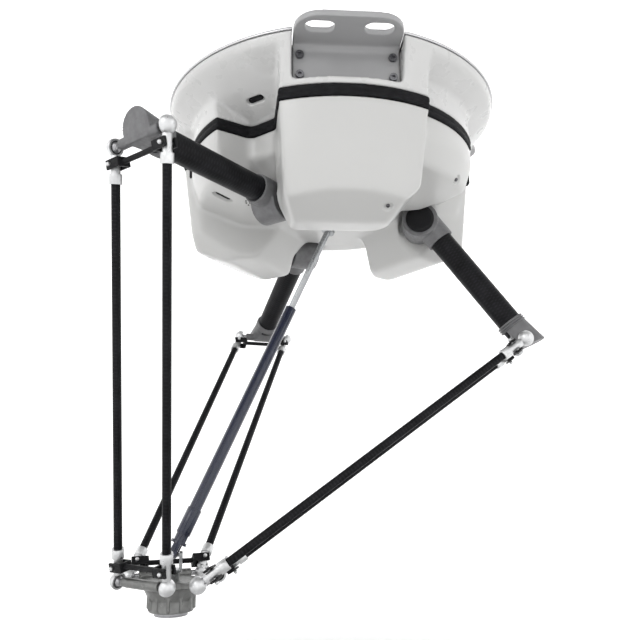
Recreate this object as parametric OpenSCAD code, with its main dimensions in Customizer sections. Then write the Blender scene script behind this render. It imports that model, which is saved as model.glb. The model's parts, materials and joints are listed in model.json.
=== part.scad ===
// Ceiling-hung delta robot with three arm and rod-pair limbs, a telescopic shaft and a turning tool flange.
// The origin is the robot's axis in the plane where its three feet seat. +Z is up.

/* [Kinematics] */
// Distance from the robot's axis to each arm's pivot axis
base_r = 200; // [196:1:210]
// Length of an arm, from its pivot axis to its ball axis
arm_l = 350; // [330:1:370]
// Length of a rod, between its ball centres
rod_l = 800; // [780:1:820]
// Distance from the platform's centre to each ball axis
plat_r = 72; // [70:1:80]
// Distance between the two rods of a pair
rod_gap = 137; // [132:1:145]
// Turn about the robot's axis from an arm to its foot
arm_turn = 42; // [40:1:44]
// Drop from the seating plane of the feet to the arm pivots
motor_drop = 260; // [250:1:280]

/* [Rest pose] */
// Place of the platform's centre along X, from the pivots' centre
rest_x = -327; // [-340:1:-300]
// Place of the platform's centre along Y, from the pivots' centre
rest_y = -103.5; // [-120:0.5:-90]
// Height of the platform's ball centres, from the pivots
rest_z = -745.5; // [-760:0.5:-730]

/* [Casing] */
// Diameter of the rim
rim_d = 750; // [740:1:770]
// Height of the rim's upright band
rim_h = 16; // [12:1:24]
// How far the rim leans out over its height
rim_lean = 5; // [3:1:8]
// Height of the rim above the arm pivots
casing_top = 265; // [260:1:272]
// Thickness of the lid
lid_t = 5; // [3:1:8]
// Height of the upper casing's upright wall, above the seal
wall_h = 48; // [40:1:56]
// Radius of the lobes' faces
lobe_r = 343; // [338:1:350]
// Radius of the casing between the lobes
waist_r = 322; // [316:1:328]
// Height of the seal's underside above the arm pivots
seal_z = 142; // [138:1:146]
// Height of the seal
seal_h = 26; // [20:1:30]
// How far the seal stands proud of the covers
seal_proud = 2; // [1:0.5:4]
// Wall of the upper casing
casing_wall = 7; // [5:1:9]
// Thickness of the upper casing's floor
floor_t = 10; // [8:1:14]
// Wall of the lower cover
cover_wall = 5; // [4:0.5:6]
// Height of the lower cover's upright band
band_h = 44; // [38:1:50]
// Radius of the lower cover's belly, between its pods
belly_r = 304; // [296:1:312]
// Height of the belly above the arm pivots
belly_z = 46; // [40:1:52]
// Radius of the lower cover's centre
centre_r = 205; // [200:1:210]
// Height of the centre's underside above the arm pivots
centre_z = 12; // [8:1:14]
// Radius of the hole that the telescopic shaft passes
centre_hole_r = 40; // [36:1:44]
// Depth of the pods below the arm pivots
pod_drop = 71; // [66:1:76]
// How far a pod's sides and face lean in, per unit of height
pod_draft = 0.12; // [0.08:0.01:0.15]
// Distance from the robot's axis to an arm recess's back wall
recess_u = 240; // [236:1:244]
// Where an arm recess meets its lobe's flank, along the arm
flank_u = 313; // [308:1:318]
// Where an arm recess meets its lobe's flank, along the pivot axis
flank_v = 105; // [102:1:110]
// Height of an arm recess's ceiling over the hub's inner side
roof_low = 35; // [34:1:38]
// Height of an arm recess's ceiling over the hub's outer side
roof_mid = 80; // [76:1:84]
// Height of an arm recess's ceiling at its back wall
roof_high = 98; // [94:1:102]
// Gap beside an arm's socket in its recess
socket_room = 3; // [2:0.5:4]
// Gap in front of a hub's cap in the lower cover
cap_room = 6; // [4:1:10]
// Gap between a hub's drive face and the lower cover
drive_room = 6; // [4:1:7]
// Radial gap around a hub in the lower cover
hub_room = 8; // [6:1:10]

/* [Feet] */
// Width of a foot
foot_w = 210; // [200:1:220]
// Thickness of a foot's plates
foot_t = 12; // [10:1:14]
// Distance from the robot's axis to a foot's upright face
foot_r = 314; // [310:1:318]
// Distance from the robot's axis to a foot's outer edge
foot_reach = 412; // [406:1:420]
// Height of a foot's upright plate below its seating face
foot_h = 76; // [70:1:78]
// Radius of a foot's outer corners
foot_corner = 50; // [40:1:54]
// End-to-end length of a foot's slots
slot_l = 56; // [50:1:60]
// Width of a foot's slots
slot_w = 32; // [26:1:36]
// Distance between a foot's two slots
slot_gap = 112; // [106:1:118]
// Distance from the robot's axis to the slots
slot_r = 377; // [374:1:382]
// Diameter of the foot screws
screw_d = 10; // [8:1:12]

/* [Drives] */
// Diameter of a gearbox
gearbox_d = 72; // [66:1:72]
// Length of a gearbox
gearbox_l = 60; // [56:1:62]
// Width of a motor
motor_w = 70; // [64:1:72]
// Length of a motor
motor_l = 90; // [80:1:92]
// Thickness of the core frame's plates
core_t = 12; // [10:1:14]
// Height of the core frame's triangle
core_h = 60; // [50:1:62]
// Width of the wrist motor
wrist_w = 86; // [80:1:92]
// Length of the wrist motor
wrist_l = 80; // [70:1:84]

/* [Arms] */
// Diameter of an arm's tube
tube_d = 52; // [48:1:54]
// Wall of an arm's tube
tube_wall = 3; // [2:0.5:4]
// How far a tube's axis stands above its arm's pivot and ball axes
tube_rise = 12; // [10:1:14]
// Diameter of a hub
hub_d = 80; // [76:1:82]
// Length of a hub from the arm's middle to its cap
hub_open = 34; // [32:1:36]
// Length of a hub from the arm's middle to its drive face
hub_drive = 28; // [27:1:30]
// Diameter of a hub's cap
cap_d = 62; // [58:1:66]
// Height of a hub's cap
cap_h = 7; // [5:1:8]
// Diameter of a hub's journal in the gearbox
journal_d = 40; // [36:1:44]
// Length of a hub's journal inside the gearbox
journal_l = 30; // [24:1:34]
// Wall of a hub's socket
socket_wall = 5; // [4:0.5:5]
// Length of a hub's socket, from the pivot axis
socket_l = 62; // [58:1:66]
// How far a tube sits in its hub and in its elbow
tube_seat = 14; // [12:1:18]
// Diameter of an elbow's end face
elbow_d = 68; // [64:1:72]
// Distance from an elbow's ball axis back to its tube
elbow_l = 26; // [24:1:30]
// How far an elbow's end face stands beyond its ball axis
elbow_nose = 12; // [10:1:15]
// Lean of an elbow's end face
elbow_lean = 13; // [8:1:16]

/* [Ball joints] */
// Diameter of a ball
ball_d = 20; // [18:1:21]
// Inner diameter of a rod end's cup
cup_d = 25; // [24.6:0.1:25.4]
// Wall of a rod end's cup
cup_wall = 3.5; // [3:0.5:4]
// Angle of a cup beyond its ball's middle
cup_wrap = 10; // [6:1:12]
// Diameter of a ball's stud
stud_d = 10; // [9:0.5:10.5]
// Distance from a ball to the boss that holds its stud
boss_gap = 17; // [16:0.5:18]
// Diameter of those bosses
boss_d = 20; // [18:1:22]
// Diameter of a rod's tube
rod_d = 16; // [14:0.5:17]
// Wall of a rod's tube
rod_wall = 1.5; // [1:0.5:2]
// Diameter of a rod end's neck
neck_d = 17; // [15:0.5:18]
// Diameter of a rod end's socket
rod_socket_d = 23; // [21:0.5:24]
// Distance from a ball to a rod end's socket
neck_l = 46; // [44:1:50]
// Length of a rod end's socket
rod_socket_l = 18; // [14:1:22]
// Depth of a rod's tube in its socket
rod_seat = 10; // [8:1:13]
// Distance from a ball to its retaining bar
bar_at = 30; // [29:0.5:32]
// Thickness of a retaining bar's cheeks
cheek_t = 4; // [3:0.5:5]
// Width of a retaining bar's cheeks
cheek_w = 17; // [14:1:18]
// Diameter of a retaining bar's pins
pin_d = 6; // [5:0.5:7]

/* [Telescopic shaft] */
// Height of the shaft's upper joint above the arm pivots
shaft_top_z = 15; // [12:1:18]
// Height of the shaft's lower joint above the platform's balls
shaft_foot_z = 44; // [42:1:48]
// Diameter of the sliding rod
slide_d = 14; // [13:0.5:15]
// Length of the sliding rod, from the upper joint
slide_l = 600; // [560:5:640]
// Outer diameter of the outer tube
outer_d = 24; // [22:0.5:26]
// Inner diameter of the outer tube
outer_bore = 18; // [17:0.5:19]
// Distance from the upper joint to the outer tube
outer_at = 235; // [225:1:245]
// Length of the bush in the outer tube's mouth
bush_l = 14; // [10:1:20]
// Diameter of the outer tube's foot collar
collar_d = 28; // [26:0.5:30]
// Length of that collar
collar_l = 52; // [46:1:60]
// Diameter of the joints' trunnions
trunnion_d = 6.4; // [6:0.2:7]
// Half of the gap between a joint fork's ears
ear_in = 10.5; // [10:0.5:12]
// Thickness of a fork's ears
ear_t = 5; // [4:0.5:6]
// Width of a fork's ears
ear_w = 14; // [13:0.5:15]
// Distance from a joint's middle to its forks' roots
fork_l = 22; // [21:0.5:24]

/* [Platform] */
// Diameter of the platform's hub
plat_hub_d = 84; // [80:1:88]
// Depth of the platform's hub below its balls
plat_drop = 56; // [52:1:60]
// Thickness of the platform's top plate
plat_plate = 12; // [10:1:14]
// Diameter of the tool flange
flange_d = 63; // [63:1:63]
// Thickness of the tool flange
flange_t = 7; // [6:1:9]
// Bolt circle of the tool flange
flange_pcd = 50; // [50:1:50]
// Diameter of the tool flange's threaded holes
flange_hole_d = 5; // [5:0.5:5]
// Diameter of the tool flange's centring bore
flange_bore_d = 31.5; // [31.5:0.5:31.5]
// Depth of that bore
flange_bore_l = 5; // [4:0.5:5]
// Diameter of the spindle behind the tool flange
spindle_d = 30; // [28:1:32]
// Outer diameter of the spindle's bearing
bearing_d = 46; // [44:1:48]
// Height of the spindle's bearing
bearing_h = 16; // [12:1:18]

/* [Fits] */
// Radial clearance of pieces that turn or slide in each other
run_fit = 0.05; // [0.02:0.01:0.1]
// Radial clearance of a ball joint's liner
liner_fit = 0.08; // [0.05:0.01:0.1]
// Gap between faces that pass each other
face_gap = 0.3; // [0.2:0.1:0.4]
// Room that the lower cross's trunnions have in the platform's fork
open_room = 2.5; // [2.3:0.1:2.6]

/* [Hidden] */
$fn = 64;
LIMBS = ["a", "b", "c"];
SIDES = [-1, 1];
NODES = concat(
    ["base_frame", "top_lid", "seal_band", "lower_cover", "foot_front", "foot_right", "foot_left"],
    ["foot_screws", "cover_screws", "core_frame", "gearboxes", "motors", "wrist_motor", "upper_yoke"],
    [for (n = ["hub", "hub_cap", "arm_tube"], l = LIMBS) str(n, "_", l)],
    [for (n = ["elbow", "elbow_balls", "elbow_liners"], l = LIMBS) str(n, "_", l)],
    [for (n = ["rod_tube", "rod_ends"], l = LIMBS, i = [1, 2]) str(n, "_", l, i)],
    [for (n = ["upper_bar", "lower_bar"], l = LIMBS) str(n, "_", l)],
    ["lower_liners_c", "upper_cross", "sliding_rod", "outer_tube", "lower_cross", "lower_yoke"],
    ["platform", "platform_balls", "spindle_bearing", "tool_flange"]
);
node = "all";

FEET = ["foot_front", "foot_right", "foot_left"];
first_foot = 270;
first_arm = first_foot - arm_turn;
half_gap = rod_gap / 2;
far = 600;
cast_white = [0.93, 0.93, 0.92];
cover_white = [0.9, 0.9, 0.88];
cast_grey = [0.55, 0.55, 0.56];
bright = [0.78, 0.79, 0.8];
carbon = [0.1, 0.1, 0.11];
black = [0.05, 0.05, 0.05];

// Rest pose of limb k, in its own frame: X away from the robot's axis, Y along the pivot, Z up.
function turn(k) = first_arm + 120 * k;
function across(k) = rest_x * cos(turn(k)) + rest_y * sin(turn(k)) + plat_r - base_r;
function along(k) = rest_y * cos(turn(k)) - rest_x * sin(turn(k));
function reach(k) = norm([across(k), rest_z]);
function pull(k) = (reach(k) ^ 2 + along(k) ^ 2 + arm_l ^ 2 - rod_l ^ 2) / (2 * arm_l);
function arm_angle(k) = atan2(-rest_z, across(k)) - acos(pull(k) / reach(k));
function elbow_x(k) = base_r + arm_l * cos(arm_angle(k));
function elbow_z(k) = -arm_l * sin(arm_angle(k));
function rod_pitch(k) = atan2(elbow_z(k) - rest_z, across(k) + base_r - elbow_x(k));
function rod_swing(k) = asin(along(k) / rod_l);

// The telescopic shaft: its tilt about X, then about its own Y, and its length between the joints.
shaft_span = [rest_x, rest_y, rest_z + shaft_foot_z - shaft_top_z];
shaft_l = norm(shaft_span);
shaft_tilt_x = atan2(shaft_span[1], -shaft_span[2]);
shaft_tilt_y = asin(-shaft_span[0] / shaft_l);

// Levels and outlines of the casing, from the arm pivots.
seal_top = seal_z + seal_h;
rim_z = casing_top - rim_h;
rim_root = rim_d / 2 - rim_lean;
wall_z = seal_top + wall_h;
band_z = seal_z - band_h;
lobe_left = -131;
lobe_right = 163;
pod_ridge = 236;
pod_rise = 0.42;
pod_inner = 165;
recess_flare = 18;
recess_open = tube_d / 2 + socket_wall + socket_room;
recess_drive = hub_drive + drive_room;
hub_recess_r = hub_d / 2 + hub_room;
gear_at = recess_drive + cover_wall + 1;
core_at = gear_at + gearbox_l;
motor_at = core_at + core_t;
pocket_w = foot_w + 4;
cup_r = cup_d / 2 + cup_wall;
open_fork = ear_in + open_room;
flange_z = -plat_drop - face_gap - flange_t;

module at_pivots() translate([0, 0, -motor_drop]) children();
module at_platform() at_pivots() translate([rest_x, rest_y, rest_z]) children();
module at_limb(k) at_pivots() rotate([0, 0, turn(k)]) children();
module at_lobe(k) rotate([0, 0, first_foot + 120 * k]) children();
module each_arm() for (k = [0:2]) rotate([0, 0, turn(k)]) children();
module each_lobe() for (k = [0:2]) at_lobe(k) children();
// An arm's own frame: X from its pivot axis to its ball axis.
module at_arm(k) at_limb(k) translate([base_r, 0, 0]) rotate([0, arm_angle(k), 0]) children();
// The frame of a rod pair: its elbow, pitched with the rods.
module at_pair(k) at_limb(k) translate([elbow_x(k), 0, elbow_z(k)]) rotate([0, rod_pitch(k), 0]) children();
// A rod's frame: X from its upper ball to its lower ball.
module at_rod(k, side) at_pair(k) translate([0, side * half_gap, 0]) rotate([0, 0, rod_swing(k)]) children();
// A cylinder along Y between two places.
module shaft_y(r, from, to) translate([0, from, 0]) rotate([-90, 0, 0]) cylinder(r = r, h = to - from);
module shaft_x(r, from, to) translate([from, 0, 0]) rotate([0, 90, 0]) cylinder(r = r, h = to - from);
// A flat shape in the X and Z plane, extruded along Y between two places.
module slab_y(from, to) translate([0, to, 0]) rotate([90, 0, 0]) linear_extrude(to - from) children();

// A polygon whose corners are arcs: each corner is [x, y, radius].
function unit(v) = v / norm(v);
function fillet(a, b, c) =
    let (
        p = [b[0], b[1]], u = unit([a[0], a[1]] - p), v = unit([c[0], c[1]] - p), half = acos(u * v) / 2,
        mid = p + unit(u + v) * b[2] / sin(half), s = p + u * b[2] / tan(half) - mid,
        e = p + v * b[2] / tan(half) - mid, sweep = 180 - 2 * half, way = sign(s[0] * e[1] - s[1] * e[0]),
        steps = 6
    )
    [for (i = [0:steps]) mid + [[cos(way * sweep * i / steps), -sin(way * sweep * i / steps)] * s,
        [sin(way * sweep * i / steps), cos(way * sweep * i / steps)] * s]];
function rounded(c) =
    [for (i = [0:len(c) - 1]) each c[i][2] > 0
        ? fillet(c[(i + len(c) - 1) % len(c)], c[i], c[(i + 1) % len(c)]) : [[c[i][0], c[i][1]]]];

// The arm recess in plan, grown by g: flared on its open side, and along the lobe's flank on its drive side.
module recess_plan(g = 0) {
    flank = [cos(arm_turn), sin(arm_turn)];
    corner = [flank_u, flank_v] + g * [-sin(arm_turn), cos(arm_turn)];
    polygon(rounded([
        [recess_u - g, -recess_open - g, 18],
        [recess_u - g, recess_drive + g, 14],
        [corner[0], corner[1], 10],
        [corner[0] + 300 * flank[0], corner[1] + 300 * flank[1], 0],
        [recess_u + far, -recess_open - g - far * tan(recess_flare), 0]
    ]));
}
module lobe_plan(r, g = 0) {
    intersection() {
        circle(r = r - g, $fn = 180);
        polygon(rounded([
            [0, lobe_left + g, 0], [r - g + 8, lobe_left + g, 20],
            [r - g + 8, lobe_right - g, 34], [0, lobe_right - g, 0]
        ]));
    }
}
// The outline of the casing at the seal, inset by g.
module full_outline(g = 0) {
    circle(r = waist_r - g, $fn = 180);
    each_lobe() lobe_plan(lobe_r, g);
}
module outline(g = 0) {
    difference() {
        full_outline(g);
        each_arm() recess_plan(g);
    }
}

// The upper casing's solid form, inset by g.
module casing_form(g = 0) {
    difference() {
        union() {
            translate([0, 0, rim_z]) cylinder(r1 = rim_root - g, r2 = rim_d / 2 - g, h = rim_h, $fn = 180);
            translate([0, 0, wall_z])
                cylinder(r1 = waist_r - g, r2 = rim_root - g, h = rim_z - wall_z, $fn = 180);
            translate([0, 0, seal_top]) cylinder(r = waist_r - g, h = wall_h, $fn = 180);
            each_lobe() intersection() {
                translate([0, 0, seal_top])
                    cylinder(r1 = lobe_r - g, r2 = rim_root - g - 1, h = rim_z - seal_top, $fn = 180);
                translate([0, 0, seal_top]) linear_extrude(rim_z - seal_top) lobe_plan(rim_d / 2, g);
            }
        }
        each_arm() notch_form(g);
        each_lobe() translate([foot_r - foot_t - g, -pocket_w / 2 - g, motor_drop - foot_h - 2 - g])
            cube([far, pocket_w + 2 * g, far]);
    }
}
// The sloped notch over an arm, grown by g.
module notch_form(g = 0) {
    low = seal_top - 1;
    flank = [cos(arm_turn), sin(arm_turn)];
    corner = [flank_u, flank_v] + g * [-sin(arm_turn), cos(arm_turn)];
    intersection() {
        translate([0, 0, low]) linear_extrude(rim_z - low) polygon([
            [recess_u - g, -far], [recess_u - g, recess_drive + g], corner,
            corner + far * flank, [far + 300, -far]
        ]);
        slab_y(-far, far) polygon([
            [recess_u - g, low], [recess_u - g, seal_top + 4], [rim_root - g, rim_z - 2],
            [far, rim_z - 2], [far, low]
        ]);
        translate([recess_u, -recess_open - g, 0]) rotate([0, 0, 90 - recess_flare]) slab_y(-far, far)
            polygon([[0, low], [far, low], [far, rim_z], [-20, rim_z], [0, seal_top]]);
    }
}

module base_frame() {
    color(cast_white) at_pivots() difference() {
        casing_form();
        intersection() {
            casing_form(casing_wall);
            translate([0, 0, seal_top + floor_t]) cylinder(r = far, h = far);
        }
        translate([0, 0, casing_top - 4]) cylinder(r = rim_d / 2 - casing_wall - 12, h = 10, $fn = 180);
        translate([0, 0, seal_top - 1]) cylinder(r = journal_d, h = floor_t + 2);
        each_lobe() for (y = SIDES, z = [0, 1])
            translate([foot_r - foot_t - casing_wall - 1, y * foot_screw_y, foot_screw_z(z)])
                rotate([0, 90, 0]) cylinder(d = screw_d + 2 * run_fit, h = casing_wall + 2);
    }
}
foot_screw_y = foot_w / 2 - 14;
function foot_screw_z(i) = motor_drop - 20 - i * (foot_h - 34);

module top_lid() {
    color(bright) at_pivots() difference() {
        union() {
            translate([0, 0, casing_top]) cylinder(r = rim_d / 2 + 1, h = lid_t, $fn = 180);
            translate([0, 0, casing_top + lid_t]) cylinder(r1 = 70, r2 = 64, h = 8);
        }
        each_lobe() translate([foot_r - foot_t, -pocket_w / 2, 0]) cube([far, pocket_w, far]);
        translate([0, 0, casing_top - 1]) cylinder(r = 40, h = far);
        for (a = [0:30:359]) rotate([0, 0, a + 15])
            translate([lid_screw_r, 0, casing_top - 1])
                cylinder(d = lid_screw_d + 2 * run_fit, h = lid_t + 2);
    }
}
lid_screw_r = rim_d / 2 - 76;
lid_screw_d = 6;

module seal_band() {
    color(black) at_pivots() translate([0, 0, seal_z]) linear_extrude(seal_h) difference() {
        outline(-seal_proud);
        outline(casing_wall);
    }
}

// A motor pod's solid form, inset by g, in its lobe's frame.
module pod_form(g = 0) {
    low = -pod_drop + g;
    deep = 90;
    lean = pod_draft * (seal_z + deep);
    intersection() {
        translate([0, 0, -deep])
            cylinder(r1 = lobe_r - g - lean, r2 = lobe_r - g, h = seal_z + deep, $fn = 180);
        slab_y(-far, far) polygon(rounded([
            [100, seal_z, 0], [far, seal_z, 0], [far, low + pod_rise * (far - pod_ridge), 0],
            [pod_ridge, low, 40], [pod_inner + g, low + 5, 22], [120 + g, 0, 0], [100, belly_z, 0]
        ]));
        rotate([0, 0, 90]) slab_y(-far, far) polygon(rounded([
            [lobe_left + g, seal_z, 0], [lobe_right - g, seal_z, 0],
            [lobe_right - g - pod_draft * 150, -12, 18], [70 - g, -90, 0],
            [-90, -90, 0], [lobe_left + g + pod_draft * 70, -35, 12]
        ]));
        translate([0, 0, -deep]) linear_extrude(far) polygon([
            [0, -far], [far, -far], [far, far], [290 + g, lobe_right + far],
            [290 + g, lobe_right], [130 + g, 45 - g], [0, 45 - g]
        ]);
    }
}
module cover_form(g = 0) {
    difference() {
        union() {
            translate([0, 0, band_z]) cylinder(r = waist_r - g, h = band_h, $fn = 180);
            translate([0, 0, belly_z + g])
                cylinder(r1 = belly_r - g, r2 = waist_r - g, h = band_z - belly_z - g, $fn = 180);
            translate([0, 0, centre_z + g])
                cylinder(r1 = centre_r - g, r2 = belly_r - g, h = belly_z - centre_z, $fn = 180);
            each_lobe() pod_form(g);
            each_arm() translate([base_r, 0, 0])
                shaft_y(gearbox_d / 2 + 1 + cover_wall - g, recess_drive + g, core_at);
        }
        each_arm() recess_form(g);
    }
}
// What is cut out of the lower cover for an arm, grown by g.
module recess_form(g = 0) {
    r = hub_recess_r + g;
    translate([0, 0, -far]) linear_extrude(far + seal_z + 1) recess_plan(g);
    open = hub_open + cap_h + cap_room + g;
    slab_y(-recess_open - g, recess_drive + g) polygon([
        [base_r - 28, -10], [base_r - 28, roof_low + g], [base_r + 20, roof_mid + g],
        [recess_u + 6, roof_high + g], [recess_u + 6, -10]
    ]);
    translate([base_r, 0, 0]) shaft_y(r, -open, recess_drive + g + 0.3);
    translate([base_r - r * cos(20), -open - 0.5, -far]) cube([far, open + recess_drive + g + 1, far - 3]);
}
module lower_cover() {
    color(cover_white) at_pivots() difference() {
        cover_form();
        intersection() {
            cover_form(cover_wall);
            translate([0, 0, -far]) cylinder(r = far, h = far + seal_z + 1);
        }
        translate([0, 0, seal_z - 1]) linear_extrude(2) outline(cover_wall);
        cylinder(r = centre_hole_r, h = belly_z);
        each_arm() translate([base_r, 0, 0]) shaft_y(journal_d / 2 + 4, recess_drive - 1, gear_at);
    }
}

module foot(k) {
    color(cast_grey) at_pivots() at_lobe(k) difference() {
        union() {
            translate([0, 0, motor_drop]) linear_extrude(foot_t) polygon(rounded([
                [foot_r - foot_t, -foot_w / 2, 0], [foot_reach, -foot_w / 2, foot_corner],
                [foot_reach, foot_w / 2, foot_corner], [foot_r - foot_t, foot_w / 2, 0]
            ]));
            translate([foot_r - foot_t, -foot_w / 2, motor_drop - foot_h]) cube([foot_t, foot_w, foot_h]);
            slab_y(-foot_w / 2, foot_w / 2) polygon([
                [foot_r - 1, motor_drop], [foot_r + 10, motor_drop], [foot_r, motor_drop - 10],
                [foot_r - 1, motor_drop - 10]
            ]);
        }
        for (y = SIDES) translate([slot_r, y * slot_gap / 2, motor_drop - 1]) foot_slot();
        for (y = SIDES, z = [0, 1]) translate([foot_r - foot_t - 1, y * foot_screw_y, foot_screw_z(z)])
            rotate([0, 90, 0]) cylinder(d = screw_d + 2 * run_fit, h = foot_t + 2);
    }
}
module foot_slot() {
    run = (slot_l - slot_w) / 2;
    for (y = SIDES) translate([0, y * run, 0]) cylinder(d = slot_w, h = foot_t + 2);
    translate([-slot_w / 2, -run, 0]) cube([slot_w, 2 * run, foot_t + 2]);
}

module foot_screws() {
    color(bright) at_pivots() each_lobe() for (y = SIDES, z = [0, 1])
        translate([foot_r, y * foot_screw_y, foot_screw_z(z)]) rotate([0, 90, 0])
            socket_screw(screw_d, foot_t + casing_wall);
}
// A cap screw with its seat at the origin and its head up.
module socket_screw(d, l) {
    difference() {
        union() {
            cylinder(d = 1.6 * d, h = 0.6 * d);
            translate([0, 0, -l]) cylinder(d = d, h = l + 1);
        }
        translate([0, 0, 0.25 * d]) cylinder(d = 0.8 * d, h = d, $fn = 6);
    }
}
module cover_screws() {
    color(bright) at_pivots() {
        for (a = [0:30:359]) rotate([0, 0, a + 15])
            translate([lid_screw_r, 0, casing_top + lid_t]) socket_screw(lid_screw_d, lid_t);
    }
}

module core_frame() {
    color(cast_grey) at_pivots() difference() {
        union() {
            each_arm() {
                translate([-core_at * sqrt(3), core_at, seal_top - core_h])
                    cube([core_at * sqrt(3) + base_r + 46, core_t, core_h]);
                translate([base_r - 46, core_at, -44]) cube([92, core_t, seal_top + 44]);
            }
            translate([0, 0, seal_top - core_h]) cylinder(r = core_at + 4, h = 8);
            translate([0, 0, seal_top - core_h]) cylinder(d = journal_d + 16, h = 24);
        }
        translate([0, 0, seal_top - core_h - 1]) cylinder(d = yoke_shaft_d + 2 * run_fit, h = far);
        each_arm() translate([base_r, 0, 0]) shaft_y(30, core_at - 1, core_at + core_t + 1);
    }
}
yoke_shaft_d = 20;

module gearboxes() {
    color(cast_grey) at_pivots() each_arm() translate([base_r, 0, 0]) difference() {
        union() {
            shaft_y(gearbox_d / 2, gear_at, core_at);
            shaft_y(29.9, core_at - 1, core_at + core_t);
        }
        shaft_y(journal_d / 2 + run_fit, gear_at - 1, gear_at + journal_l + 1);
    }
}
module motors() {
    color(black) at_pivots() each_arm() translate([base_r, motor_at, 0]) {
        difference() {
            translate([-motor_w / 2, 0, -motor_w / 2]) cube([motor_w, motor_l, motor_w]);
            for (x = SIDES, z = SIDES) translate([x * motor_w / 2, 12, z * motor_w / 2])
                rotate([0, 45, 0]) translate([-6, 0, -6]) cube([12, motor_l, 12]);
        }
        translate([-18, motor_l - 34, motor_w / 2]) cube([36, 26, 22]);
    }
}
module wrist_motor() {
    color(black) at_pivots() translate([0, 0, seal_top + floor_t]) difference() {
        union() {
            translate([-wrist_w / 2, -wrist_w / 2, 0]) cube([wrist_w, wrist_w, wrist_l]);
            translate([0, 0, -floor_t]) cylinder(r = journal_d - run_fit, h = floor_t);
        }
        translate([0, 0, -floor_t - 1]) cylinder(d = yoke_shaft_d + 2 * run_fit, h = 24);
    }
}

// A joint fork with its joint at the origin, its ears across Y and its root above.
module fork(inner = ear_in, hole = trunnion_d / 2 + run_fit, root = fork_l) {
    difference() {
        union() {
            for (y = SIDES) translate([0, y > 0 ? inner : -inner - ear_t, 0]) {
                shaft_y(ear_w / 2, 0, ear_t);
                translate([-ear_w / 2, 0, 0]) cube([ear_w, ear_t, root]);
            }
            translate([0, 0, root]) cylinder(r = inner + ear_t, h = 6);
        }
        shaft_y(hole, -far, far);
    }
}
module cross(arm_x, arm_y) {
    sphere(r = 7.5);
    shaft_y(trunnion_d / 2, -arm_y, arm_y);
    shaft_x(trunnion_d / 2, -arm_x, arm_x);
}
cross_arm = ear_in + ear_t;
open_cross_arm = open_fork + ear_t - 2;
module at_top_joint() at_pivots() translate([0, 0, shaft_top_z]) children();
// Frames of the shaft: tilted about X, then about its own Y, with Z up along the shaft.
module tilt_x() rotate([shaft_tilt_x, 0, 0]) children();
module tilt_xy() tilt_x() rotate([0, shaft_tilt_y, 0]) children();

module upper_yoke() {
    color(bright) at_top_joint() {
        rotate([0, 0, 90]) fork();
        translate([0, 0, fork_l]) cylinder(d = yoke_shaft_d, h = seal_top - shaft_top_z - fork_l + 12);
    }
}
module upper_cross() {
    color(cast_grey) at_top_joint() tilt_x() cross(cross_arm, cross_arm);
}
module sliding_rod() {
    color(bright) at_top_joint() tilt_xy() mirror([0, 0, 1]) {
        fork();
        translate([0, 0, fork_l]) cylinder(d = slide_d, h = slide_l - fork_l);
    }
}
module outer_tube() {
    color([0.1, 0.11, 0.17]) at_top_joint() tilt_xy() mirror([0, 0, 1]) {
        difference() {
            union() {
                translate([0, 0, outer_at]) cylinder(d = outer_d, h = shaft_l - fork_l - 6 - outer_at);
                translate([0, 0, shaft_l - fork_l - 20 - collar_l]) cylinder(d = collar_d, h = collar_l);
            }
            translate([0, 0, outer_at - 1]) cylinder(d = slide_d + 2 * run_fit, h = bush_l + 2);
            translate([0, 0, outer_at + bush_l])
                cylinder(d = outer_bore, h = shaft_l - fork_l - 30 - outer_at - bush_l);
        }
        translate([0, 0, shaft_l]) mirror([0, 0, 1]) fork();
    }
}
module lower_cross() {
    color(cast_grey) at_platform() translate([0, 0, shaft_foot_z]) tilt_x() cross(open_cross_arm, cross_arm);
}
module lower_yoke() {
    root = fork_l + open_room;
    color(bright) at_platform() translate([0, 0, shaft_foot_z]) mirror([0, 0, 1]) {
        rotate([0, 0, 90]) fork(open_fork, trunnion_d / 2 + open_room, root);
        translate([0, 0, root]) cylinder(r = open_fork, h = shaft_foot_z - root);
    }
}

module hub(k) {
    color(cast_grey) at_arm(k) difference() {
        union() {
            shaft_y(hub_d / 2, -hub_open, hub_drive);
            shaft_y(journal_d / 2, hub_drive - 1, gear_at + journal_l);
            intersection() {
                translate([0, 0, tube_rise]) shaft_x(tube_d / 2 + socket_wall, 0, socket_l);
                translate([0, -hub_d, -hub_d]) cube(2 * hub_d);
            }
        }
        translate([0, 0, tube_rise]) shaft_x(tube_d / 2 + run_fit, socket_l - tube_seat, socket_l + 1);
    }
}
module hub_cap(k) {
    color(black) at_arm(k) translate([0, -hub_open, 0]) rotate([90, 0, 0]) {
        cylinder(d = cap_d, h = cap_h / 2);
        translate([0, 0, cap_h / 2]) cylinder(d1 = cap_d, d2 = 0.8 * cap_d, h = cap_h / 2);
    }
}
module arm_tube(k) {
    from = socket_l - tube_seat;
    to = arm_l - elbow_l;
    color(carbon) at_arm(k) translate([0, 0, tube_rise]) difference() {
        shaft_x(tube_d / 2, from, to);
        shaft_x(tube_d / 2 - tube_wall, from - 1, to + 1);
    }
}
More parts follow.
